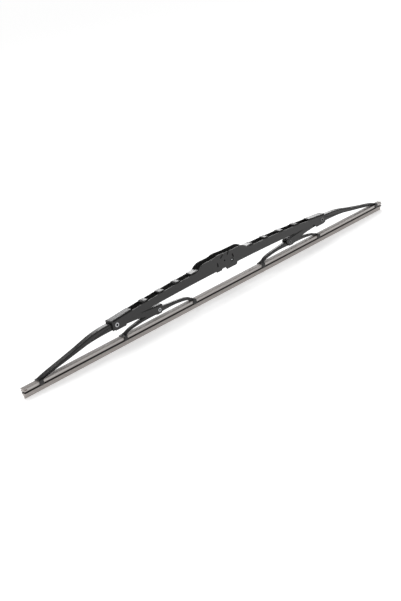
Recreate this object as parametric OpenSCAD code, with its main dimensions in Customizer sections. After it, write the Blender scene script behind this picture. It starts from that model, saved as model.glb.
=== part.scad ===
// Bracket wiper blade: a pressed steel linkage of one main bow, two second bows and two yokes,
// whose six claws carry a rubber squeegee stiffened by two flat steel rails.
// X runs along the blade, Z is up from the wiping lip, and the origin lies under the middle.

/* [Squeegee] */
// Length of the rubber strip
blade_len = 502; // [496:2:600]
// Width of the rubber head that the claws hold
head_w = 6.0; // [5.6:0.1:6.4]
// Height of the head above its neck
head_h = 3.0; // [2.8:0.1:3.4]
// Bevel of the head's upper edges
head_edge = 0.3; // [0.1:0.1:0.5]
// Height of the gap at the neck, where the claws' toes go
neck_gap = 1.2; // [1.1:0.05:1.4]
// Thickness of the rubber at the neck
neck_t = 0.9; // [0.6:0.1:1.2]
// Height from the lip to the top of the shoulder
shoulder_z = 5.4; // [4.8:0.1:6]
// Width of the shoulder
shoulder_w = 5.6; // [4.4:0.1:6]
// Height of the shoulder's upright edge
shoulder_h = 0.7; // [0.4:0.1:1]
// Thickness of the wiping lip
lip_t = 0.7; // [0.5:0.1:1]

/* [Rails] */
// Thickness of each flat steel rail
rail_t = 0.75; // [0.6:0.05:0.9]
// Width of each rail
rail_w = 1.8; // [1.5:0.1:2]
// How far each rail ends inside the end of the rubber
rail_inset = 3; // [1:0.5:6]
// Clearance of a rail in its slot
rail_gap = 0.05; // [0.03:0.01:0.1]

/* [Claws] */
// Distance of the left outer claw from its end of the strip
left_overhang = 17.8; // [9:0.2:24]
// Distance of the right outer claw from its end of the strip
right_overhang = 10.5; // [8:0.5:24]
// Distance of the middle claws from the middle
mid_claw = 137.8; // [134:0.2:144]
// Distance of the inner claws from the middle
inner_claw = 49.4; // [45:0.2:54]
// Length of a claw along the strip
claw_len = 4.2; // [3.5:0.1:5]
// Clearance between claw and rubber
claw_gap = 0.15; // [0.1:0.05:0.25]
// How far each toe reaches under the head
toe = 1.5; // [1:0.1:1.8]

/* [Main bow] */
// Distance of each end from the middle
main_end = 148.9; // [147.9:0.2:150.5]
// Outside width of the channel
main_w = 9.8; // [9.6:0.1:10.6]
// Thickness of its sheet
main_sheet = 1.0; // [0.8:0.05:1.1]
// Height of its crown
crown_z = 37.2; // [36.6:0.1:39]
// Height of its top at the ends
main_end_top = 30; // [29.6:0.1:30.6]
// Height of the lower edge at the middle
main_mid_low = 26.5; // [26:0.1:27.4]
// Height of the lower edge where it meets the end lugs
main_far_low = 23.7; // [23:0.1:24.2]
// Height of the end lugs' lower edge
lug_low = 19.9; // [19.6:0.1:20.4]
// Length of each end lug
lug_len = 13.6; // [11:0.2:14.4]

/* [Windows] */
// Distance of the outermost window edge from the middle
window_end = 125.5; // [122:0.5:128]
// Number of windows on each side
windows = 4; // [3:1:5]
// Width of the ribs between the windows
rib = 5.8; // [4:0.1:7]
// Width of the rib beside the open middle
last_rib = 9.8; // [8:0.1:12]
// Depth to which the windows cut into the walls
window_cut = 1.3; // [1:0.1:1.8]

/* [Open middle] */
// Distance of the opening's left edge from the middle
open_left = 38.5; // [35:0.5:42]
// Distance of the opening's right edge from the middle
open_right = 29; // [27:0.5:32]
// Height of the cheeks beside the opening
cheek_z = 40.9; // [40.3:0.1:42.5]
// Rise of the cheeks' crest over their ends
cheek_crest = 1; // [0.3:0.1:1.2]
// Length of the rounded shoulders at the cheeks' ends
shoulder_len = 8.5; // [6:0.5:10]
// Width of the slots in the front cheek
cheek_slot = 1.5; // [1.2:0.1:1.6]
// Radius of the curved slots
slot_r = 6.2; // [5.8:0.1:6.6]
// Depth of the wider lug under the cheeks
lug_drop = 2.5; // [1.5:0.1:3]
// Depth of the narrow lug beside it
small_lug_drop = 1.25; // [0.8:0.05:1.8]
// Width of the wider lug at its root
lug_w = 16.6; // [14:0.2:18]
// Width of the narrow lug at its root
small_lug_w = 8; // [6:0.2:10]

/* [Arm pin and adapter] */
// Place of the pin along the blade
pin_x = 6.5; // [5:0.5:8]
// Height of the pin
pin_z = 31; // [30.5:0.1:32]
// Radius of the pin
pin_r = 1.9; // [1.6:0.05:2.1]
// Running clearance of the adapter on the pin
pin_gap = 0.06; // [0.03:0.01:0.09]
// Radius of the adapter's nose
nose_r = 4.6; // [4.2:0.1:5]
// Length of the adapter from the pin to its tail
adapter_len = 27; // [22:1:30]
// Clearance between adapter and cheeks
adapter_gap = 0.15; // [0.1:0.05:0.3]
// Wall of the adapter
adapter_wall = 1.6; // [1.2:0.1:2]

/* [Second bows] */
// Distance of their pivots from the middle
bow_pivot_x = 145.1; // [144.5:0.1:145.4]
// Height of their pivots
bow_pivot_z = 24.8; // [24.5:0.1:25]
// Thickness of their sheet
bow_sheet = 0.8; // [0.7:0.05:0.9]
// Height of their web over the pivots
bow_over = 2.6; // [2.5:0.1:2.8]
// Depth of their walls under the pivots
bow_under = 3.7; // [3.4:0.1:3.8]
// Length of the ear past the yoke's pivot
ear_len = 5; // [4.6:0.1:5.6]
// Height of the ear's web over the yoke's pivot
ear_over = 4.6; // [4.5:0.1:5]
// Depth of the ear under the yoke's pivot
ear_under = 3.7; // [3.4:0.1:3.8]

/* [Yokes] */
// Distance of their pivots from the middle
yoke_pivot_x = 93.2; // [92.5:0.1:94]
// Height of their pivots
yoke_pivot_z = 17.7; // [17.5:0.1:18.2]
// Thickness of their sheet
yoke_sheet = 0.7; // [0.6:0.05:0.8]
// Height of their web over the pivot
yoke_over = 2.0; // [1.95:0.05:2.3]
// Depth of their walls under the pivot
yoke_under = 3.4; // [3:0.1:3.6]

/* [Rivets and liners] */
// Radius of the shank of the main bow's rivets
bow_rivet_r = 1.5; // [1.3:0.05:1.6]
// Radius of their heads
bow_rivet_head = 2.2; // [2:0.1:2.5]
// Radius of the shank of the yokes' rivets
yoke_rivet_r = 1.3; // [1.1:0.05:1.4]
// Radius of their heads
yoke_rivet_head = 1.85; // [1.7:0.05:2.1]
// Height of all rivet heads
rivet_head_h = 0.5; // [0.4:0.05:0.7]
// Running clearance of a moving sheet on its rivet
rivet_gap = 0.06; // [0.03:0.01:0.09]
// Thickness of the bow liners' walls
bow_liner = 0.36; // [0.3:0.02:0.4]
// Thickness of the yoke liners' walls
yoke_liner = 0.34; // [0.3:0.02:0.36]
// Gap on each side of a liner's wall
liner_gap = 0.07; // [0.05:0.01:0.09]
// Thickness of the collar that shows at the main bow's ends
collar_t = 1.2; // [0.8:0.1:1.6]

/* [Hidden] */
$fn = 48;

steel_black = [0.29, 0.29, 0.29];
fit = 0.02;                 // clearance of a pin in the sheet that holds it
over = 1;                   // how far a cut runs past what it cuts

head_low = shoulder_z + neck_gap;
head_top = head_low + head_h;
rail_z = head_low + head_h * 0.55;
claw_top = head_top + claw_gap;
left_claw = blade_len / 2 - left_overhang;
right_claw = blade_len / 2 - right_overhang;

bow_w = main_w - 2 * (main_sheet + bow_liner + 2 * liner_gap);
yoke_w = bow_w - 2 * (bow_sheet + yoke_liner + 2 * liner_gap);

// Straight line between two heights, at one place
function lerp(a, b, t) = a + (b - a) * t;

// One point of a smooth curve through four points, at the share t between the middle two
function spline_point(a, b, c, d, t) =
    0.5 * (2 * b + (c - a) * t + (2 * a - 5 * b + 4 * c - d) * t * t
        + (3 * b - a - 3 * c + d) * t * t * t);

// A smooth curve through all the points, with n steps between neighbours
function smooth(p, n = 4) = concat(
    [for (i = [0 : len(p) - 2], k = [0 : n - 1])
        spline_point(p[max(i - 1, 0)], p[i], p[i + 1], p[min(i + 2, len(p) - 1)], k / n)],
    [p[len(p) - 1]]
);

function lowered(p, d) = [for (q = p) [q[0], q[1] - d]];
function reversed(p) = [for (i = [len(p) - 1 : -1 : 0]) p[i]];
function widened(p, d) = concat([[p[0][0] - d, p[0][1]]], p, [[p[len(p) - 1][0] + d, p[len(p) - 1][1]]]);

// A plate that stands along the blade, from one Y to another, with its outline in X and Z
module plate(y_from, y_to) {
    translate([0, y_to, 0]) rotate([90, 0, 0]) linear_extrude(y_to - y_from) children();
}

// A plate across the middle plane
module across(w) {
    plate(-w / 2, w / 2) children();
}

// A section in Y and Z carried along X, centred on x
module along(x, length) {
    translate([x - length / 2, 0, 0]) rotate([90, 0, 90]) linear_extrude(length) children();
}

// A round rod or hole across the blade
module cross_rod(x, z, r, length) {
    translate([x, length / 2, z]) rotate([90, 0, 0]) cylinder(r = r, h = length);
}

// Rectangle with round corners, centred on x = 0, from z0 to z1
module round_rect(w, z0, z1, r) {
    translate([-w / 2 + r, z0]) square([w - 2 * r, z1 - z0]);
    translate([-w / 2, z0 + r]) square([w, z1 - z0 - 2 * r]);
    for (x = [-w / 2 + r, w / 2 - r], z = [z0 + r, z1 - r]) translate([x, z]) circle(r = r);
}

// An upside-down channel between a top line and a bottom line
module channel(top, bottom, w, sheet) {
    difference() {
        across(w) polygon(concat(top, reversed(bottom)));
        across(w - 2 * sheet) polygon(concat(
            widened(lowered(top, sheet), over),
            [[top[len(top) - 1][0] + over, 0], [top[0][0] - over, 0]]
        ));
    }
}

// The claw that wraps the rubber head, with two toes in the gap at its neck
module claw(x, sheet) {
    inner_w = head_w + 2 * claw_gap;
    toe_top = head_low - claw_gap;
    along(x, claw_len) difference() {
        round_rect(inner_w + 2 * sheet, toe_top - sheet, claw_top + sheet, sheet * 0.9);
        translate([-inner_w / 2, toe_top]) square([inner_w, claw_top - toe_top]);
        translate([-head_w / 2 + toe, 0]) square([head_w - 2 * toe, claw_top]);
    }
}

// Height of the main bow's web at a place along it
function web_z(x) = crown_z - (crown_z - main_end_top) * pow(x / main_end, 2);

main_steps = 24;
lug_ramp = 3.5;
lug_start = main_end - lug_len;
main_bottom_half = concat(
    [for (i = [2 : main_steps / 2]) let (x = (lug_start - lug_ramp) * i / (main_steps / 2))
        [x, main_mid_low - (main_mid_low - main_far_low) * pow(i / (main_steps / 2), 2)]],
    [[lug_start, lug_low], [main_end - 1.5, lug_low], [main_end, lug_low + 1.2]]
);
// A lug under the cheeks, from its left root, with slanted ends
function lug_line(x, w, drop) = [
    [x, main_mid_low], [x + drop * 0.6, main_mid_low - drop],
    [x + w - drop * 0.6, main_mid_low - drop], [x + w, main_mid_low]
];
lug_x = pin_x - 9.7;
small_lug_x = lug_x - small_lug_w - 5.2;
mid_lugs = concat(lug_line(small_lug_x, small_lug_w, small_lug_drop), lug_line(lug_x, lug_w, lug_drop));
main_bottom = concat(
    reversed([for (p = main_bottom_half) [-p[0], p[1]]]), mid_lugs, main_bottom_half
);

// Top edge of the cheeks: up a round shoulder, along with a slight crest, and down again
cheek_top = smooth([
    [-open_left, web_z(open_left)],
    [-open_left + shoulder_len * 0.3, lerp(web_z(open_left), cheek_z, 0.5)],
    [-open_left + shoulder_len, cheek_z - 0.3], [-open_left * 0.47, cheek_z - 0.2],
    [-open_left * 0.27, cheek_z + cheek_crest], [0, cheek_z + 0.3],
    [open_right * 0.41, cheek_z], [open_right - shoulder_len, cheek_z - 0.1],
    [open_right - shoulder_len * 0.4, lerp(web_z(open_right), cheek_z, 0.56)],
    [open_right, web_z(open_right)]
]);
main_top = concat(
    [for (i = [0 : main_steps - 1]) let (x = -lerp(main_end, open_left, i / main_steps)) [x, web_z(x)]],
    cheek_top,
    [for (i = [1 : main_steps]) let (x = lerp(open_right, main_end, i / main_steps)) [x, web_z(x)]]
);

function web_line(a, b, d) = [for (i = [0 : 4]) let (x = lerp(a, b, i / 4)) [x, web_z(x) + d]];

// The windows of one side, between the end window edge and the open middle
module window_row(side, opening) {
    long = (window_end - opening - last_rib - (windows - 1) * rib) / windows;
    for (i = [0 : windows - 1]) {
        far = window_end - i * (long + rib);
        across(main_w + 2 * over) polygon(concat(
            web_line(side * far, side * (far - long), -window_cut),
            reversed(web_line(side * far, side * (far - long), over))
        ));
    }
}

// The curved slots: each centre from the pin in slot radii, then the turn and the sweep in degrees
cheek_slots = [[-0.65, 0.32, 18, 38], [-1.61, 0.44, 122, 42], [-4.2, 0.24, 0, 38]];

// A cut through the front cheek alone
module front_cut() {
    plate(-main_w / 2 - over, 0) children();
}

// A curved slot in the front cheek: a stretch of a ring about a centre
module arc_slot(x, z, turn, sweep) {
    front_cut() translate([x, z]) rotate(turn) intersection() {
        difference() {
            circle(r = slot_r + cheek_slot / 2);
            circle(r = slot_r - cheek_slot / 2);
        }
        polygon([
            [0, 0], [3 * slot_r, -3 * slot_r * tan(sweep / 2)], [3 * slot_r, 3 * slot_r * tan(sweep / 2)]
        ]);
    }
}

// A slanted notch from the front cheek's top edge down towards the curved slots
module cheek_notch() {
    front_cut() translate([pin_x - slot_r * 0.9, pin_z + slot_r * 1.15]) rotate(-38)
        translate([-cheek_slot / 2, 0]) square([cheek_slot, slot_r]);
}

module main_bow() {
    color(steel_black) difference() {
        union() {
            difference() {
                across(main_w) polygon(concat(main_top, reversed(main_bottom)));
                across(main_w - 2 * main_sheet) polygon(concat(
                    widened(lowered(main_top, -over), over),
                    [[main_end + over, 0], [-main_end - over, 0]]
                ));
            }
            for (end = [[-main_end, -open_left], [open_right, main_end]]) {
                across(main_w) polygon([
                    for (i = [0 : main_steps]) let (x = lerp(end[0], end[1], i / main_steps)) [x, web_z(x)],
                    for (i = [main_steps : -1 : 0]) let (x = lerp(end[0], end[1], i / main_steps))
                        [x, web_z(x) - main_sheet]
                ]);
            }
        }
        window_row(-1, open_left);
        window_row(1, open_right);
        for (side = [-1, 1]) {
            cross_rod(side * bow_pivot_x, bow_pivot_z, bow_rivet_r + fit, main_w + 2 * over);
        }
        cross_rod(pin_x, pin_z, pin_r + fit, main_w + 2 * over);
        for (s = cheek_slots) arc_slot(pin_x + s[0] * slot_r, pin_z + s[1] * slot_r, s[2], s[3]);
        front_cut() translate([pin_x, pin_z] + [cheek_slots[1][0], cheek_slots[1][1]] * slot_r)
            circle(r = cheek_slot * 0.6);
        cheek_notch();
    }
}

// Steel pin across the cheeks, its ends turned down to a small bright dome inside each hole
module pivot_pin() {
    tip_r = pin_r * 0.58;
    step = main_sheet * 0.55;
    dome = 0.2;
    half = [
        [pin_r, main_w / 2 - step], [tip_r, main_w / 2 - step], [tip_r, main_w / 2 - dome],
        [tip_r * 0.6, main_w / 2 - 0.05], [0, main_w / 2]
    ];
    color([0.75, 0.75, 0.76]) translate([pin_x, 0, pin_z]) rotate([90, 0, 0]) rotate_extrude()
        polygon(concat([for (p = reversed(half)) [p[0], -p[1]]], half));
}

// Side view of the adapter: a nose round the pin and a tapered body with a tail
module adapter_side() {
    tail_x = pin_x - adapter_len;
    translate([pin_x, pin_z]) circle(r = nose_r);
    polygon([
        [pin_x, pin_z + nose_r], [tail_x + 3, pin_z + nose_r - 1.4], [tail_x, pin_z + nose_r - 2.6],
        [tail_x, pin_z - 1.6], [tail_x + 2, pin_z - 3], [pin_x, pin_z - nose_r]
    ]);
}

// Black plastic adapter that clips on the pin and carries the arm's hook round its nose
module adapter() {
    tail_x = pin_x - adapter_len;
    width = main_w - 2 * (main_sheet + adapter_gap);
    color([0.07, 0.07, 0.07]) difference() {
        across(width) adapter_side();
        cross_rod(pin_x, pin_z, pin_r + pin_gap, width + 2 * over);
        // the hollow between the two side walls, open below
        across(width - 2 * adapter_wall) polygon([
            [tail_x + adapter_wall, pin_z + nose_r - 4], [pin_x - nose_r - 1, pin_z + nose_r - 2.4],
            [pin_x - nose_r - 1, 0], [tail_x + adapter_wall, 0]
        ]);
        // two slots free the springy tongue in the top
        for (y = [-1, 1] * (width / 2 - adapter_wall - 0.5)) {
            translate([tail_x + 4, y - 0.4, pin_z]) cube([adapter_len - nose_r - 8, 0.8, 2 * nose_r]);
        }
    }
}

// Lines of the second bow, from its ear at the yoke to its claw
ear_x = yoke_pivot_x - ear_len;
ear_top = yoke_pivot_z + ear_over;
ear_low = yoke_pivot_z - ear_under;
neck_z = claw_top + 4.2;

// Top of the bow at a share of the way from its pivot to its claw, and at a share of its drop
function arm_top(claw_x, way, drop) =
    [lerp(bow_pivot_x, claw_x, way), lerp(bow_pivot_z + bow_over, neck_z, drop)];

// The same for its lower edge, on either side of its pivot
function arm_low(claw_x, way, drop) =
    [lerp(bow_pivot_x, claw_x, way), lerp(bow_pivot_z - bow_under, claw_top + 1.6, drop)];
function ear_edge(way, rise) =
    [lerp(yoke_pivot_x, bow_pivot_x, way), lerp(ear_low, bow_pivot_z - bow_under, rise)];

function bow_top(claw_x) = concat(
    [[ear_x, ear_top - 0.9], [ear_x + 1, ear_top]],
    smooth([
        [yoke_pivot_x, ear_top],
        [lerp(yoke_pivot_x, bow_pivot_x, 0.5), lerp(ear_top, bow_pivot_z + bow_over, 0.5)],
        for (q = [[0, 0], [0.17, 0], [0.33, 0.142], [0.54, 0.487], [0.72, 0.757]])
            arm_top(claw_x, q[0], q[1]),
        [max(claw_x - 10, lerp(bow_pivot_x, claw_x, 0.85)), neck_z], [claw_x - 2.6, claw_top + 2.3],
        [claw_x + claw_len / 2 - 0.2, claw_top + bow_sheet]
    ])
);
function bow_bottom(claw_x) = concat(
    [[ear_x, ear_low + 4.4], [ear_x + 2.2, ear_low + 1.5], [yoke_pivot_x - 2, ear_low + 0.1]],
    smooth([
        [yoke_pivot_x + 3, ear_low], ear_edge(0.15, 0.2), ear_edge(0.42, 0.67), ear_edge(0.7, 0.88),
        for (q = [[0, 0], [0.17, 0], [0.34, 0.09], [0.54, 0.32], [0.75, 0.65]])
            arm_low(claw_x, q[0], q[1]),
        [claw_x - 5, claw_top + 1.6], [claw_x - claw_len / 2, claw_top],
        [claw_x + claw_len / 2 - 0.2, claw_top]
    ])
);

// One second bow, on the side of larger X, with its claw at claw_x
module second_bow(claw_x) {
    color(steel_black) difference() {
        union() {
            channel(bow_top(claw_x), bow_bottom(claw_x), bow_w, bow_sheet);
            claw(claw_x, bow_sheet);
        }
        cross_rod(bow_pivot_x, bow_pivot_z, bow_rivet_r + rivet_gap, main_w);
        cross_rod(yoke_pivot_x, yoke_pivot_z, yoke_rivet_r + fit, main_w);
    }
}

// Lines of the yoke, from its inner claw to its outer one
claw_reach = claw_len / 2 - 0.2;
yoke_web = yoke_pivot_z + yoke_over;
yoke_top = smooth([
    [inner_claw - claw_reach, claw_top + yoke_sheet], [inner_claw + 1.6, claw_top + 2.6],
    [inner_claw + 6, claw_top + 5], [inner_claw + 16, claw_top + 7.1],
    [lerp(inner_claw, yoke_pivot_x, 0.75), yoke_web - 1], [yoke_pivot_x, yoke_web],
    [lerp(yoke_pivot_x, mid_claw, 0.25), yoke_web - 1], [mid_claw - 20, claw_top + 6.6],
    [mid_claw - 7.5, claw_top + 4.2], [mid_claw - 2.2, claw_top + 2.2],
    [mid_claw + claw_reach, claw_top + yoke_sheet]
]);
yoke_low = yoke_pivot_z - yoke_under;
yoke_bottom = smooth([
    [inner_claw - claw_reach, claw_top], [inner_claw + 2.4, claw_top], [inner_claw + 5, claw_top + 2],
    [inner_claw + 14, claw_top + 4], [lerp(inner_claw, yoke_pivot_x, 0.6), yoke_low + 0.5],
    [yoke_pivot_x - 6, yoke_low + 0.3], [yoke_pivot_x, yoke_low],
    [lerp(yoke_pivot_x, mid_claw, 0.4), claw_top + 4.3], [mid_claw - 14, claw_top + 3.2],
    [mid_claw - 5.5, claw_top + 1.8], [mid_claw - 2.4, claw_top], [mid_claw + claw_reach, claw_top]
]);

// One yoke, on the side of larger X
module yoke() {
    color(steel_black) difference() {
        union() {
            channel(yoke_top, yoke_bottom, yoke_w, yoke_sheet);
            claw(inner_claw, yoke_sheet);
            claw(mid_claw, yoke_sheet);
        }
        cross_rod(yoke_pivot_x, yoke_pivot_z, yoke_rivet_r + rivet_gap, main_w);
    }
}

// Plastic saddle between the main bow's end and the second bow, with the collar that shows
module bow_saddle() {
    inside = main_w - 2 * (main_sheet + liner_gap);
    seat_from = lug_start - 2.7;
    foot_z = lug_low + 0.6;
    roof_at = function (x) web_z(x) - main_sheet - liner_gap;
    color([0.1, 0.1, 0.1]) difference() {
        union() {
            across(inside) polygon([
                [seat_from, foot_z + 0.9], [seat_from, roof_at(seat_from)],
                [main_end, roof_at(main_end)], [main_end, foot_z], [seat_from + 4, foot_z]
            ]);
            along(main_end + collar_t / 2, collar_t)
                round_rect(main_w, lug_low + 0.3, main_end_top, 1.1);
        }
        across(bow_w + 2 * liner_gap) translate([seat_from - over, 0])
            square([main_end + collar_t - seat_from + 2 * over, bow_pivot_z + bow_over + 0.6]);
        cross_rod(bow_pivot_x, bow_pivot_z, bow_rivet_r + rivet_gap, main_w);
    }
}

// Plastic saddle between the second bow's ear and the yoke
module yoke_saddle() {
    inside = bow_w - 2 * (bow_sheet + liner_gap);
    reach = ear_len - 0.8;
    roof = ear_top - bow_sheet - liner_gap;
    foot_z = ear_low + 1.1;
    color([0.1, 0.1, 0.1]) difference() {
        across(inside) polygon([
            [yoke_pivot_x - reach, foot_z + 2.6], [yoke_pivot_x - reach, roof],
            [yoke_pivot_x + reach, roof], [yoke_pivot_x + reach, foot_z], [yoke_pivot_x - 2, foot_z]
        ]);
        across(yoke_w + 2 * liner_gap) translate([yoke_pivot_x - reach - over, 0])
            square([2 * (reach + over), yoke_web + 0.6]);
        cross_rod(yoke_pivot_x, yoke_pivot_z, yoke_rivet_r + rivet_gap, main_w);
    }
}

// Hollow rivet across the blade, with a rolled head on each side of the sheets that it holds
module rivet(x, z, r, head_r, grip) {
    bore = r * 0.5;
    edge = rivet_head_h * 0.3;
    top = grip / 2 + rivet_head_h;
    seat = grip / 2 + fit;
    color([0.82, 0.82, 0.84]) translate([x, 0, z]) rotate([90, 0, 0]) rotate_extrude() polygon([
        [bore, -top + edge], [bore + 2 * edge, -top], [head_r - 3 * edge, -top],
        [head_r, -seat - edge], [head_r - edge / 2, -seat], [r, -seat],
        [r, seat], [head_r - edge / 2, seat], [head_r, seat + edge],
        [head_r - 3 * edge, top], [bore + 2 * edge, top], [bore, top - edge]
    ]);
}

module bow_rivet(side) {
    rivet(side * bow_pivot_x, bow_pivot_z, bow_rivet_r, bow_rivet_head, main_w);
}

module yoke_rivet(side) {
    rivet(side * yoke_pivot_x, yoke_pivot_z, yoke_rivet_r, yoke_rivet_head, bow_w);
}

// The rubber strip: a head with a slot in each side, a thin neck, and a shoulder tapering to the lip
module squeegee() {
    slot_low = rail_z - rail_t / 2 - rail_gap;
    slot_high = rail_z + rail_t / 2 + rail_gap;
    slot_in = head_w / 2 - rail_w - 2 * rail_gap;
    wedge_z = shoulder_z - shoulder_h;
    half = [
        [lip_t / 2, 0], [lip_t * 0.7, wedge_z * 0.2], [lip_t * 1.36, wedge_z * 0.66],
        [shoulder_w / 2, wedge_z], [shoulder_w / 2, shoulder_z],
        [neck_t / 2, shoulder_z], [neck_t / 2, head_low], [head_w / 2, head_low],
        [head_w / 2, slot_low], [slot_in, slot_low], [slot_in, slot_high], [head_w / 2, slot_high],
        [head_w / 2, head_top - head_edge], [head_w / 2 - head_edge, head_top]
    ];
    color([0.62, 0.61, 0.60]) along(0, blade_len)
        polygon(concat(half, reversed([for (p = half) [-p[0], p[1]]])));
}

// One flat spring in the side slot of the head, on the side that side names
module rail(side) {
    y = side * (head_w / 2 - rail_gap - rail_w / 2);
    length = blade_len - 2 * rail_inset;
    color([0.8, 0.8, 0.82]) translate([-length / 2, y - rail_w / 2, rail_z - rail_t / 2])
        cube([length, rail_w, rail_t]);
}

main_bow();
pivot_pin();
adapter();
mirror([1, 0, 0]) second_bow(left_claw);  // left_bow
second_bow(right_claw);  // right_bow
mirror([1, 0, 0]) yoke();  // left_yoke
yoke();  // right_yoke
mirror([1, 0, 0]) bow_saddle();  // left_bow_liner
bow_saddle();  // right_bow_liner
mirror([1, 0, 0]) yoke_saddle();  // left_yoke_liner
yoke_saddle();  // right_yoke_liner
bow_rivet(-1);  // left_bow_rivet
bow_rivet(1);  // right_bow_rivet
yoke_rivet(-1);  // left_yoke_rivet
yoke_rivet(1);  // right_yoke_rivet
squeegee();
rail(-1);  // front_rail
rail(1);  // rear_rail
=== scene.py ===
"""Looks of a bracket wiper blade: black coated pressings, bright rivets and a dusted grey rubber strip."""
import math

import bmesh
import bpy
import numpy as np
from mathutils import Matrix, Vector


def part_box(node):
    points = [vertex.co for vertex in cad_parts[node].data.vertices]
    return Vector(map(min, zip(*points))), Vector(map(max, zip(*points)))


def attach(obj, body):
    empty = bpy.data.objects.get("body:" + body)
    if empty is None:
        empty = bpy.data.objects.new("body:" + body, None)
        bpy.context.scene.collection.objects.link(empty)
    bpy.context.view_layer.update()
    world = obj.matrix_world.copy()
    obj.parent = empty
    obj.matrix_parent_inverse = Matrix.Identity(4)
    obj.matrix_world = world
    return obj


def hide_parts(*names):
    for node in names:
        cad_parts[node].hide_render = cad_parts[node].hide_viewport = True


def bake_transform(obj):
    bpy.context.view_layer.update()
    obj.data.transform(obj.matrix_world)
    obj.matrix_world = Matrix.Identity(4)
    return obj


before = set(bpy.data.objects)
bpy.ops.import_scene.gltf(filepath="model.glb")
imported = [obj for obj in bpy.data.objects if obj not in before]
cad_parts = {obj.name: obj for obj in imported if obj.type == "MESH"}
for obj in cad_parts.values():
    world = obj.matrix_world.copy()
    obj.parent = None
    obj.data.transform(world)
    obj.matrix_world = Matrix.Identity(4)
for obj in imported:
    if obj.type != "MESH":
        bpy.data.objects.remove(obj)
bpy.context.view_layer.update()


# The view: from in front and to the left of the blade, looking a little down on it and slightly rolled.
# Its angles, aim and distance were fitted to the claws, rivets and strip ends in the picture, for a lens
# whose focal length is 1000 pixels of the 401 x 601 frame.
FRAME_TALL = 601
FOCAL_PIXELS = 1000
VIEW_AZIMUTH, VIEW_HEIGHT, VIEW_ROLL = np.radians([-40.07, 21.70, -10.62])
VIEW_AIM = np.array([-0.0393, 0.0, 0.0045])
VIEW_DISTANCE = 0.974


def view_axes(azimuth, height, roll):
    """Right, up and back of a camera that looks horizontally from the azimuth, is raised by the height
    angle about its right axis, and is then turned by the roll about the line of sight."""
    back = np.array([
        math.sin(azimuth) * math.cos(height), -math.cos(azimuth) * math.cos(height), math.sin(height)
    ])
    level_right = np.array([math.cos(azimuth), math.sin(azimuth), 0.0])
    level_up = np.cross(back, level_right)
    right = math.cos(roll) * level_right + math.sin(roll) * level_up
    up = math.cos(roll) * level_up - math.sin(roll) * level_right
    return right, up, back


right, up, back = view_axes(VIEW_AZIMUTH, VIEW_HEIGHT, VIEW_ROLL)
camera_data = bpy.data.cameras.new("camera")
camera_data.sensor_width = 36.0
camera_data.lens = camera_data.sensor_width * FOCAL_PIXELS / FRAME_TALL
camera_data.clip_start, camera_data.clip_end = 0.05, 40.0
camera = bpy.data.objects.new("camera", camera_data)
bpy.context.scene.collection.objects.link(camera)
camera_place = VIEW_AIM + VIEW_DISTANCE * back
camera.matrix_world = Matrix([
    [right[i], up[i], back[i], camera_place[i]] for i in range(3)
] + [[0.0, 0.0, 0.0, 1.0]])
bpy.context.scene.camera = camera


# The finish of the pressings: satin black powder coat, baked on the folded steel.
# Its clear skin gives the webs soft bright reflections at low angles, while the walls stay a deep charcoal.
# It is thin and matt on the cut edges, and the faces that look inwards or down take a darker black as
# painted shade.
PATCH_MM = 18
PEEL_MM = 0.7
PEEL_HEIGHT = 0.00002


def linear(code):
    """A colour written as an sRGB hex value, as the linear red, green, blue and alpha that shaders take."""
    share = np.array([int(code[i:i + 2], 16) for i in (1, 3, 5)]) / 255
    low, high = share / 12.92, ((share + 0.055) / 1.055) ** 2.4
    return (*np.where(share <= 0.04045, low, high).tolist(), 1.0)


def add_node(material, kind, settings=None, links=None):
    """Adds one node to a material or world. Settings go to its own properties or, by name or number, to
    its sockets, and links join its sockets to the outputs given."""
    tree = material.node_tree
    node = tree.nodes.new(kind)
    for name, value in (settings or {}).items():
        if isinstance(name, str) and hasattr(node, name):
            setattr(node, name, value)
        else:
            node.inputs[name].default_value = value
    for name, output in (links or {}).items():
        tree.links.new(output, node.inputs[name])
    return node


def new_material(name):
    """An empty material with its output node."""
    material = bpy.data.materials.new(name)
    material.use_nodes = True
    material.node_tree.nodes.clear()
    output = add_node(material, "ShaderNodeOutputMaterial")
    return material, output


def grains(material, size_mm, detail=2.0, stretch=(1, 1, 1)):
    """Noise whose grains measure size_mm, on the object's own coordinates, stretched along the axes."""
    place = add_node(material, "ShaderNodeTexCoord")
    stretched = add_node(
        material, "ShaderNodeMapping", {"Scale": stretch}, {"Vector": place.outputs["Object"]}
    )
    return add_node(
        material, "ShaderNodeTexNoise", {"Scale": 1000 / size_mm, "Detail": detail},
        {"Vector": stretched.outputs["Vector"]},
    )


def spread(material, source, low, high):
    """A noise's value, of which most lies from 0.3 to 0.7, carried to the range from low to high."""
    return add_node(
        material, "ShaderNodeMapRange",
        {"From Min": 0.3, "From Max": 0.7, "To Min": low, "To Max": high}, {"Value": source},
    ).outputs["Result"]


def powder_coat(name, dark, light, glossiest, dullest):
    """Black powder coat on steel: an even shade between dark and light, a faint orange peel in its skin,
    and patches of a few centimetres where it is a touch glossier."""
    material, output = new_material(name)
    patches = grains(material, PATCH_MM)
    peel = grains(material, PEEL_MM, detail=3)
    colour = add_node(
        material, "ShaderNodeMix", {"data_type": "RGBA", 6: linear(dark), 7: linear(light)},
        {0: patches.outputs["Fac"]},
    )
    bump = add_node(
        material, "ShaderNodeBump", {"Strength": 0.15, "Distance": PEEL_HEIGHT},
        {"Height": peel.outputs["Fac"]},
    )
    shader = add_node(
        material, "ShaderNodeBsdfPrincipled", {"IOR": 1.45},
        {
            "Base Color": colour.outputs[2], "Normal": bump.outputs["Normal"],
            "Roughness": spread(material, patches.outputs["Fac"], glossiest, dullest),
        },
    )
    material.node_tree.links.new(shader.outputs["BSDF"], output.inputs["Surface"])
    return material


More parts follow.
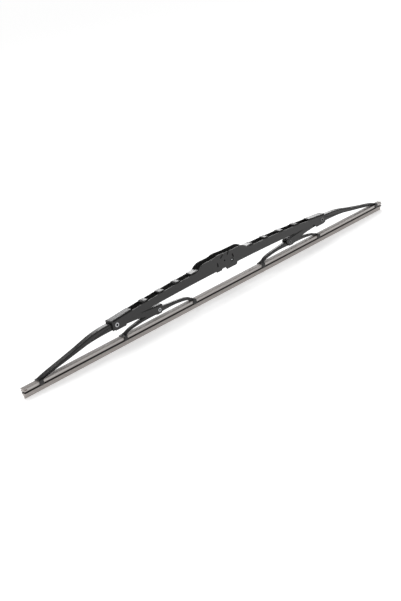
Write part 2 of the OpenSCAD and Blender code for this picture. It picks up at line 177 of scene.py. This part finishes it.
coated_steel = powder_coat("satin_black_powder_coat", "#1b1a1a", "#212020", 0.27, 0.33)
coated_edge = powder_coat("thin_coat_on_cut_edges", "#1b1a1a", "#212020", 0.48, 0.56)
# The third coat is painted shade: a darker black for the faces that look inwards or down.
painted_shade_inside = powder_coat("painted_shade_black_inside", "#070707", "#0b0b0a", 0.7, 0.85)


# The pressings: the long main bow, the two second bows and the two yokes.
# Each is one blanked and folded steel sheet, coated after pressing, with a wide round fold where its walls
# turn down from its web.
THICKEST_SHEET = 0.0011
WEB_REACH = 0.001
MERGE_DISTANCE = 2e-6
SAME_PLACE = 1e-5
FLAT_DEGREES, SHARP_DEGREES = 0.08, 40
FOLD_STEPS = 5
# Limits on the share of a face's normal that points across the blade, and on the one that points up.
EDGE_ACROSS, WALL_ACROSS, INWARD = 0.02, 0.99, -1e-6
EDGE_UP, WEB_UP, UNDERSIDE = 0.7, 0.6, -0.5
EDGE_COAT, INSIDE_COAT = 1, 2


def pressing(node, body, fold_radius):
    """The pressing as it looks: a merged copy of the solid, with its flat faces made whole and its folds
    rounded to the fold radius. A fold is a long edge between the web, which reaches from wall to wall and
    faces up, and the outer face of a wall. Faces as narrow as the sheet that face up are cut edges, and
    the other narrow ones, and those that face inwards or down, take a darker black as painted shade."""
    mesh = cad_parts[node].data.copy()
    shape = bmesh.new()
    shape.from_mesh(mesh)
    bmesh.ops.remove_doubles(shape, verts=shape.verts, dist=MERGE_DISTANCE)
    bmesh.ops.dissolve_limit(
        shape, angle_limit=math.radians(FLAT_DEGREES), verts=shape.verts, edges=shape.edges
    )
    for face in shape.faces:
        across = [v.co.y for v in face.verts]
        narrow = abs(face.normal.y) < EDGE_ACROSS and max(across) - min(across) < THICKEST_SHEET
        inward = face.normal.y * sum(across) < INWARD or face.normal.z < UNDERSIDE
        if narrow and face.normal.z > EDGE_UP:
            face.material_index = EDGE_COAT
        elif narrow or inward:
            face.material_index = INSIDE_COAT
    folds = []
    for edge in shape.edges:
        web = [f for f in edge.link_faces if f.normal.z > WEB_UP
               and min(v.co.y for v in f.verts) < -WEB_REACH and max(v.co.y for v in f.verts) > WEB_REACH]
        wall = [f for f in edge.link_faces if abs(f.normal.y) > WALL_ACROSS]
        if web and wall and abs(edge.verts[0].co.y - edge.verts[1].co.y) < SAME_PLACE:
            folds.append(edge)
    bmesh.ops.bevel(
        shape, geom=folds, offset=fold_radius, segments=FOLD_STEPS, affect="EDGES", clamp_overlap=False
    )
    shape.to_mesh(mesh)
    shape.free()
    mesh.polygons.foreach_set("use_smooth", np.ones(len(mesh.polygons), bool))
    mesh.set_sharp_from_angle(angle=math.radians(SHARP_DEGREES))
    # The coats go in by number, because clearing the list would reset each face's number.
    for number, coat in enumerate((coated_steel, coated_edge, painted_shade_inside)):
        if number < len(mesh.materials):
            mesh.materials[number] = coat
        else:
            mesh.materials.append(coat)
    piece = bpy.data.objects.new(node + "_pressing", mesh)
    bpy.context.scene.collection.objects.link(piece)
    flat = piece.modifiers.new("flat_faces", "WEIGHTED_NORMAL")
    flat.mode = "FACE_AREA"
    flat.keep_sharp = True
    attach(piece, body)
    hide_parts(node)


pressing("main_bow", "main", 0.0014)
for side in ("left", "right"):
    pressing(side + "_bow", side + "_arm", 0.0010)
    pressing(side + "_yoke", side + "_rocker", 0.0008)


# The bright fasteners: hollow rivets at the four pivots and the pin across the cheeks.
# They are turned steel with a zinc plating: a rolled bright ring round a bore that is near black with
# painted shade.
# The right-hand rivets take a darker copy of the zinc as painted shade.
RIVET_HEAD_THICK = 0.00048
SHANK_IN_HEADS = 0.69
BORE_IN_SHANKS = 0.5
TIP_IN_PINS = 0.42


def zinc_plate(name, dull, bright):
    """Zinc-plated steel: a grey metal with a fine haze between the two shades."""
    material, output = new_material(name)
    haze = grains(material, 0.8, detail=3)
    colour = add_node(
        material, "ShaderNodeMix", {"data_type": "RGBA", 6: linear(dull), 7: linear(bright)},
        {0: haze.outputs["Fac"]},
    )
    shader = add_node(
        material, "ShaderNodeBsdfPrincipled", {"Metallic": 1.0},
        {
            "Base Color": colour.outputs[2],
            "Roughness": spread(material, haze.outputs["Fac"], 0.24, 0.36),
        },
    )
    material.node_tree.links.new(shader.outputs["BSDF"], output.inputs["Surface"])
    return material


def painted_recess_shade():
    """Near-black painted shade for the bores and the pin's shoulder: half wet, with lumps of 0.3 mm in its
    roughness.
    """
    material, output = new_material("painted_shade_in_recesses")
    lumps = grains(material, 0.3, detail=2)
    shader = add_node(
        material, "ShaderNodeBsdfPrincipled", {"Base Color": linear("#080707"), "Specular IOR Level": 0.3},
        {"Roughness": spread(material, lumps.outputs["Fac"], 0.5, 0.75)},
    )
    material.node_tree.links.new(shader.outputs["BSDF"], output.inputs["Surface"])
    return material


def rounded(points, radius, steps=3):
    """An outline with each corner turned into a quadratic curve between the points that lie at the
    radius, or a third of the side if that is less, along its two sides."""
    corner = np.asarray(points, float)
    before, after = np.roll(corner, 1, axis=0) - corner, np.roll(corner, -1, axis=0) - corner
    reach_before = np.linalg.norm(before, axis=1, keepdims=True)
    reach_after = np.linalg.norm(after, axis=1, keepdims=True)
    start = corner + before * np.minimum(radius / reach_before, 1 / 3)
    end = corner + after * np.minimum(radius / reach_after, 1 / 3)
    t = np.linspace(0, 1, steps + 1)[None, :, None]
    curve = (1 - t) ** 2 * start[:, None] + 2 * t * (1 - t) * corner[:, None] + t ** 2 * end[:, None]
    return curve.reshape(-1, 2)


def solid_piece(name, points, faces, material, sharp_degrees=30):
    """A piece made from points and faces, turned to face outwards, smooth except at sharp edges."""
    mesh = bpy.data.meshes.new(name)
    mesh.from_pydata(points.tolist(), [], faces)
    shape = bmesh.new()
    shape.from_mesh(mesh)
    bmesh.ops.recalc_face_normals(shape, faces=shape.faces)
    shape.to_mesh(mesh)
    shape.free()
    mesh.polygons.foreach_set("use_smooth", np.ones(len(mesh.polygons), bool))
    mesh.set_sharp_from_angle(angle=math.radians(sharp_degrees))
    mesh.materials.append(material)
    piece = bpy.data.objects.new(name, mesh)
    bpy.context.scene.collection.objects.link(piece)
    return piece


def turned(profile, x, z, turns=48):
    """Points and faces of a closed profile, in radius and Y, turned round the line along Y through x, z.
    Point i, j lies at profile point i and at turn j: x + radius cos, y, z + radius sin."""
    angle = np.arange(turns) * 2 * math.pi / turns
    radius, y = profile[:, 0, None], profile[:, 1, None]
    points = np.stack([x + radius * np.cos(angle), y + 0 * angle, z + radius * np.sin(angle)], axis=-1)
    i, j = np.meshgrid(np.arange(len(profile)), np.arange(turns), indexing="ij")
    here, beside = i * turns + j, i * turns + (j + 1) % turns
    ahead, ahead_beside = np.roll(here, -1, axis=0), np.roll(beside, -1, axis=0)
    return points.reshape(-1, 3), np.stack([here, ahead, ahead_beside, beside], axis=-1).reshape(-1, 4)


def fastener(node, body, half, x, z, metal, dark_inside, dark_depth):
    """A turned fastener that replaces its node. Its half profile runs from the axis or bore outwards on
    the +Y side and is mirrored to the other. Faces inside a radius and under a depth take painted shade."""
    half = np.array(half)
    profile = rounded(np.concatenate([half, half[::-1] * [1, -1]]), 0.0003, steps=4)
    points, faces = turned(profile, x, z)
    piece = solid_piece(node + "_turned", points, faces.tolist(), metal, 50)
    piece.data.materials.append(recess_shade)
    middle = points[faces].mean(axis=1)
    radius = np.hypot(middle[:, 0] - x, middle[:, 2] - z)
    # Faces inside the radius and under the depth get the near-black painted shade.
    dark = (radius < dark_inside) & (np.abs(middle[:, 1]) < dark_depth)
    piece.data.polygons.foreach_set("material_index", dark.astype(int))
    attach(piece, body)
    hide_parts(node)


bright_zinc = zinc_plate("zinc_plated_steel", "#a3a4a6", "#bcbdbf")
# A darker copy of the zinc: painted shade on the right-hand rivets.
painted_shade_zinc = zinc_plate("painted_shade_zinc_plate", "#5c5c5d", "#717172")
recess_shade = painted_recess_shade()
for node, body, metal in (
    ("left_bow_rivet", "main", bright_zinc), ("right_bow_rivet", "main", painted_shade_zinc),
    ("left_yoke_rivet", "left_arm", bright_zinc), ("right_yoke_rivet", "right_arm", painted_shade_zinc),
):
    low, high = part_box(node)
    head, top = (high.x - low.x) / 2, high.y
    shank, seat = SHANK_IN_HEADS * head, top - RIVET_HEAD_THICK
    bore = BORE_IN_SHANKS * shank
    # From the bore out: its flared mouth, the rolled lip, the head's rim, and the shank under the head.
    fastener(node, body, [
        [bore, top - 0.0010], [bore * 1.15, top - 0.0004], [bore * 1.55, top - 0.0001],
        [(bore * 1.4 + head) / 2, top],
        [head * 0.93, top - 0.0001], [head, seat + 0.00015], [head * 0.97, seat], [shank, seat],
    ], (low.x + high.x) / 2, (low.z + high.z) / 2, metal, bore * 1.52, top)

low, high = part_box("pivot_pin")
pin, top = (high.x - low.x) / 2, high.y
tip = TIP_IN_PINS * pin
# From the axis out: the bright turned tip, and the shoulder behind it, near black with painted shade.
fastener("pivot_pin", "main", [
    [0.00001, top], [tip * 0.7, top - 0.00004], [tip, top - 0.0003], [tip * 1.02, top - 0.0005],
    [pin, top - 0.0006],
], (low.x + high.x) / 2, (low.z + high.z) / 2, bright_zinc, pin * 1.1, top - 0.00035)


# The plastic pieces: the arm adapter on its pin and the saddles between the pivoting pressings.
# They are moulded in black acetal, which is a little deeper and waxier than the coated steel.
def acetal():
    """Moulded black acetal with the fine spark-eroded grain of its mould."""
    material, output = new_material("moulded_black_acetal")
    grain = grains(material, 0.35, detail=2)
    bump = add_node(
        material, "ShaderNodeBump", {"Strength": 0.3, "Distance": 0.00001}, {"Height": grain.outputs["Fac"]}
    )
    colour = add_node(
        material, "ShaderNodeMix", {"data_type": "RGBA", 6: linear("#0e0e0e"), 7: linear("#141414")},
        {0: grain.outputs["Fac"]},
    )
    shader = add_node(
        material, "ShaderNodeBsdfPrincipled", {"IOR": 1.48, "Roughness": 0.5},
        {"Base Color": colour.outputs[2], "Normal": bump.outputs["Normal"]},
    )
    material.node_tree.links.new(shader.outputs["BSDF"], output.inputs["Surface"])
    return material


def dress(node, material):
    """Gives a CAD node its material."""
    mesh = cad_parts[node].data
    mesh.materials.clear()
    mesh.materials.append(material)


black_acetal = acetal()
for node in ("adapter", "left_bow_liner", "right_bow_liner", "left_yoke_liner", "right_yoke_liner"):
    dress(node, black_acetal)


# The squeegee: one extruded strip of natural rubber, dusted grey, whose square head the claws hold.
# The head has a slot in each side for the rails, and a thin neck and a shoulder carry the tapered lip.
# A stretch that one body holds rides on it, the others stay where they are built, and the joins lie inside
# the claws.
LEFT_CLAW, RIGHT_CLAW, MID_CLAW, INNER_CLAW = 0.2332, 0.2405, 0.1378, 0.0494
BEND_FROM = 0.285
STATION = 0.004
strip_low, strip_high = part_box("squeegee")
STRIP_END = strip_high.x
HEAD_HALF, HEAD_TOP = strip_high.y, strip_high.z
rail_low, rail_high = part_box("rear_rail")
RAIL_CLEAR = HEAD_HALF - rail_high.y
HEAD_LOW = HEAD_TOP - 0.003
NECK_HALF = 0.00045
SHOULDER_TOP = HEAD_LOW - 0.0012
SHOULDER_HALF, SHOULDER_EDGE = 0.0028, 0.0007
LIP_HALF = 0.00035
CORNER_RADIUS = 0.00018
# The head's top is darkened with painted shade between these depths, and the neck's painted shade fades out
# between these heights.
TOP_SHADE_FULL, TOP_SHADE_NONE = 0.00005, 0.00035
NECK_FULL, NECK_NONE = 0.0001, 0.0007


def carried(section, stations):
    """Vertices and faces of a closed section, in Y and Z, carried along X through the stations, with a
    flat cap on each end. Vertex i, j is section point j at station i."""
    count, turns = len(stations), len(section)
    points = np.empty((count, turns, 3))
    points[:, :, 0] = np.asarray(stations)[:, None]
    points[:, :, 1:] = section[None, :, :]
    i, j = np.meshgrid(np.arange(count - 1), np.arange(turns), indexing="ij")
    here, beside = i * turns + j, i * turns + (j + 1) % turns
    sides = np.stack([here, here + turns, beside + turns, beside], axis=-1).reshape(-1, 4)
    caps = [list(range(turns)), list(range(count * turns - 1, (count - 1) * turns - 1, -1))]
    return points.reshape(-1, 3), sides.tolist() + caps


def strip_section():
    """Closed section of the rubber: the right half from the lip up to the top of the head, then the same
    points mirrored on the way down."""
    wedge = SHOULDER_TOP - SHOULDER_EDGE
    slot_low, slot_high = rail_low.z - RAIL_CLEAR, rail_high.z + RAIL_CLEAR
    slot_in = rail_low.y - RAIL_CLEAR
    half = np.array([
        [LIP_HALF, 0], [LIP_HALF * 1.4, wedge * 0.2], [LIP_HALF * 2.72, wedge * 0.66],
        [SHOULDER_HALF, wedge], [SHOULDER_HALF, SHOULDER_TOP],
        [NECK_HALF, SHOULDER_TOP], [NECK_HALF, HEAD_LOW], [HEAD_HALF, HEAD_LOW],
        [HEAD_HALF, slot_low], [slot_in, slot_low], [slot_in, slot_high], [HEAD_HALF, slot_high],
        [HEAD_HALF, HEAD_TOP],
    ])
    return rounded(np.concatenate([half, half[::-1] * [-1, 1]]), CORNER_RADIUS)


def dusted_rubber():
    """Natural rubber dusted with graphite and talc: a warm mid grey with fine lines along the extrusion,
    0.25 mm across, and faint patches of a few millimetres where the dust lies thicker. The top of the
    head is darkened with painted shade, and painted shade turns the crease of the neck near black.
    Both follow the height of each vertex at rest, so they stay in place when the strip bends."""
    material, output = new_material("dusted_grey_rubber")
    patches = grains(material, 6, detail=3, stretch=(0.35, 1, 1))
    lines = grains(material, 0.25, detail=2, stretch=(0.02, 1, 1))
    dust = add_node(
        material, "ShaderNodeMix", {"data_type": "RGBA", 6: linear("#afa9a5"), 7: linear("#bdb6b2")},
        {0: patches.outputs["Fac"]},
    )
    bump = add_node(
        material, "ShaderNodeBump", {"Strength": 0.35, "Distance": 0.00002},
        {"Height": lines.outputs["Fac"]},
    )
    height = add_node(material, "ShaderNodeAttribute", {"attribute_name": "height"})
    on_top = add_node(
        material, "ShaderNodeMapRange",
        {"From Min": HEAD_TOP - TOP_SHADE_NONE, "From Max": HEAD_TOP - TOP_SHADE_FULL, "To Max": 1.0},
        {"Value": height.outputs["Fac"]},
    )
    # The top of the head is painted darker: painted shade.
    painted_top_shade = add_node(
        material, "ShaderNodeMix", {"data_type": "RGBA", 7: linear("#7b7673")},
        {0: on_top.outputs["Result"], 6: dust.outputs[2]},
    )
    neck_half = (HEAD_LOW - SHOULDER_TOP) / 2
    above_neck = add_node(
        material, "ShaderNodeMath", {"operation": "SUBTRACT", 1: SHOULDER_TOP + neck_half},
        {0: height.outputs["Fac"]},
    )
    from_neck = add_node(material, "ShaderNodeMath", {"operation": "ABSOLUTE"}, {0: above_neck.outputs[0]})
    neck_shade_share = add_node(
        material, "ShaderNodeMapRange",
        {
            "From Min": neck_half + NECK_FULL, "From Max": neck_half + NECK_NONE,
            "To Min": 1.0, "To Max": 0.0,
        },
        {"Value": from_neck.outputs[0]},
    )
    # The neck is painted near black: painted shade in its crease.
    colour = add_node(
        material, "ShaderNodeMix", {"data_type": "RGBA", 7: linear("#1d1a19")},
        {0: neck_shade_share.outputs["Result"], 6: painted_top_shade.outputs[2]},
    )
    shader = add_node(
        material, "ShaderNodeBsdfPrincipled", {"IOR": 1.52},
        {
            "Base Color": colour.outputs[2], "Normal": bump.outputs["Normal"],
            "Roughness": spread(material, patches.outputs["Fac"], 0.55, 0.7),
        },
    )
    material.node_tree.links.new(shader.outputs["BSDF"], output.inputs["Surface"])
    return material


def stretches(end):
    """The stretches of the strip from its left end to its right one, up to end: name, from, to, and how
    each follows the linkage, as one body, or two with the places where the bend starts and stops."""
    rows = []
    for side, sign, outer in (("left", -1, LEFT_CLAW), ("right", 1, RIGHT_CLAW)):
        arm, rocker = side + "_arm", side + "_rocker"
        tail = (arm, rocker, sign * outer, sign * MID_CLAW)
        middle = ("main", "strip", sign * BEND_FROM, 0.0)
        rows.append((side + "_end", sign * end, sign * MID_CLAW, tail))
        rows.append((side + "_yoke", sign * MID_CLAW, sign * INNER_CLAW, (rocker,)))
        rows.append((side + "_middle", sign * INNER_CLAW, 0.0, middle))
    return rows


def follow(piece, hold):
    """Makes a stretch follow one body. A stretch that two bodies hold is only baked in place."""
    if len(hold) == 1:
        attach(piece, hold[0])
    else:
        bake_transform(piece)


rubber = dusted_rubber()
rubber_section = strip_section()
for name, start, stop, hold in stretches(STRIP_END):
    steps = max(2, round(abs(stop - start) / STATION))
    points, faces = carried(rubber_section, np.linspace(start, stop, steps + 1))
    piece = solid_piece("rubber_" + name, points, faces, rubber)
    piece.data.attributes.new("height", "FLOAT", "POINT").data.foreach_set("value", points[:, 2])
    follow(piece, hold)
    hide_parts("squeegee")


# The rails: two flat springs of rolled stainless steel in the side slots of the head.
# They spread the linkage's pressure along the rubber, and only their outer edges show.
RAIL_CORNER = 0.0001


def rolled_stainless():
    """Rolled stainless steel: a bright metal with fine rolling lines along it."""
    material, output = new_material("rolled_stainless_steel")
    lines = grains(material, 0.12, detail=2, stretch=(0.01, 1, 1))
    shader = add_node(
        material, "ShaderNodeBsdfPrincipled", {"Metallic": 1.0, "Base Color": linear("#b9b8b6")},
        {"Roughness": spread(material, lines.outputs["Fac"], 0.28, 0.4)},
    )
    material.node_tree.links.new(shader.outputs["BSDF"], output.inputs["Surface"])
    return material


stainless = rolled_stainless()
for node in ("front_rail", "rear_rail"):
    low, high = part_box(node)
    corners = [[low.y, low.z], [high.y, low.z], [high.y, high.z], [low.y, high.z]]
    section = rounded(corners, RAIL_CORNER)
    for name, start, stop, hold in stretches(high.x):
        steps = max(2, round(abs(stop - start) / STATION))
        points, faces = carried(section, np.linspace(start, stop, steps + 1))
        piece = solid_piece(node + "_" + name, points, faces, stainless)
        follow(piece, hold)
        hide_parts(node)


# The studio: a pale seamless floor under a wide softbox, which stands behind the blade to its right.
# It lights the webs, and a higher lamp throws the soft shadow towards the viewer. The pale floor lights
# the walls, and black cards round the softbox keep the steeper webs dark.
FLOOR_HALF = 8.0
PAPER_LIFT = 0.32
# The world's strength as the camera and reflections see it, and as it lights the blade.
BACKDROP, AMBIENT = 1.0, 0.78


def seamless_paper():
    """Pale paper. Seen by the camera or in a reflection it adds a little light of its own, so it comes out
    white where the blade casts no shadow."""
    material, output = new_material("pale_paper")
    path = add_node(material, "ShaderNodeLightPath")
    seen = add_node(
        material, "ShaderNodeMath", {"operation": "MAXIMUM"},
        {0: path.outputs["Is Camera Ray"], 1: path.outputs["Is Glossy Ray"]},
    )
    lift = add_node(
        material, "ShaderNodeMath", {"operation": "MULTIPLY", 1: PAPER_LIFT}, {0: seen.outputs[0]}
    )
    paper = add_node(
        material, "ShaderNodeBsdfPrincipled",
        {
            "Base Color": linear("#eeeeee"), "Roughness": 0.9, "Specular IOR Level": 0.0,
            "Emission Color": (1, 1, 1, 1),
        },
        {"Emission Strength": lift.outputs[0]},
    )
    material.node_tree.links.new(paper.outputs["BSDF"], output.inputs["Surface"])
    return material


def felt():
    """Black felt: as dark as a surface gets, with no shine."""
    material, output = new_material("black_felt")
    shader = add_node(material, "ShaderNodeBsdfPrincipled", {
        "Base Color": linear("#0c0c0c"), "Roughness": 1.0, "Specular IOR Level": 0.0
    })
    material.node_tree.links.new(shader.outputs["BSDF"], output.inputs["Surface"])
    return material


def rectangle(name, width, tall, material):
    """The mesh of a flat rectangle round the origin, facing +Z."""
    mesh = bpy.data.meshes.new(name)
    mesh.from_pydata([
        (-width / 2, -tall / 2, 0), (width / 2, -tall / 2, 0), (width / 2, tall / 2, 0),
        (-width / 2, tall / 2, 0),
    ], [], [(0, 1, 2, 3)])
    mesh.materials.append(material)
    return mesh


def softbox(name, place, aim, width, height, watts):
    """A rectangular lamp at a place, facing the aim."""
    lamp = bpy.data.lights.new(name, "AREA")
    lamp.shape = "RECTANGLE"
    lamp.size, lamp.size_y, lamp.energy = width, height, watts
    light = bpy.data.objects.new(name, lamp)
    bpy.context.scene.collection.objects.link(light)
    light.location = place
    light.rotation_euler = (Vector(aim) - Vector(place)).to_track_quat("-Z", "Y").to_euler()
    light.visible_camera = False
    return light


def black_card(name, place, aim, width, tall):
    """A black card at a place, facing the aim. It shows only in reflections."""
    mesh = rectangle(name, width, tall, black_felt)
    turn = (Vector(aim) - Vector(place)).to_track_quat("Z", "Y").to_matrix().to_4x4()
    mesh.transform(Matrix.Translation(place) @ turn)
    card = bpy.data.objects.new(name, mesh)
    bpy.context.scene.collection.objects.link(card)
    card.visible_camera = card.visible_diffuse = card.visible_shadow = False


floor = bpy.data.objects.new("floor", rectangle("floor", 2 * FLOOR_HALF, 2 * FLOOR_HALF, seamless_paper()))
bpy.context.scene.collection.objects.link(floor)

world = bpy.data.worlds.new("studio")
world.use_nodes = True
world.node_tree.nodes.clear()
path = add_node(world, "ShaderNodeLightPath")
seen = add_node(
    world, "ShaderNodeMath", {"operation": "MAXIMUM"},
    {0: path.outputs["Is Camera Ray"], 1: path.outputs["Is Glossy Ray"]},
)
seen_through = add_node(
    world, "ShaderNodeMath", {"operation": "MAXIMUM"},
    {0: seen.outputs[0], 1: path.outputs["Is Transmission Ray"]},
)
ambient = add_node(world, "ShaderNodeBackground", {"Color": (1, 1, 1, 1), "Strength": AMBIENT})
backdrop = add_node(world, "ShaderNodeBackground", {"Color": (1, 1, 1, 1), "Strength": BACKDROP})
mixed = add_node(
    world, "ShaderNodeMixShader", {},
    {0: seen_through.outputs[0], 1: ambient.outputs[0], 2: backdrop.outputs[0]},
)
add_node(world, "ShaderNodeOutputWorld", {}, {"Surface": mixed.outputs[0]})
bpy.context.scene.world = world

black_felt = felt()
softbox("rear_softbox", (0.966, 1.152, 0.56), (0, 0, 0.02), 1.3, 0.46, 10)
key = softbox("key_softbox", (0.12, 0.78, 1.44), (0, 0, 0), 0.9, 0.9, 9)
key.visible_glossy = False
# The steep webs look above the softbox on the left arm, and under it or at the floor on the right one.
black_card("upper_card", (0.573, 1.078, 1.455), (0, 0, 0), 2.6, 1.3)
black_card("lower_card", (1.660, 1.718, 0.230), (0, 0, 0), 2.4, 0.46)
black_card("floor_card", (1.0, 1.02, 0.001), (1.0, 1.02, 1), 2.0, 1.96)

bpy.context.scene.view_settings.view_transform = "Standard"
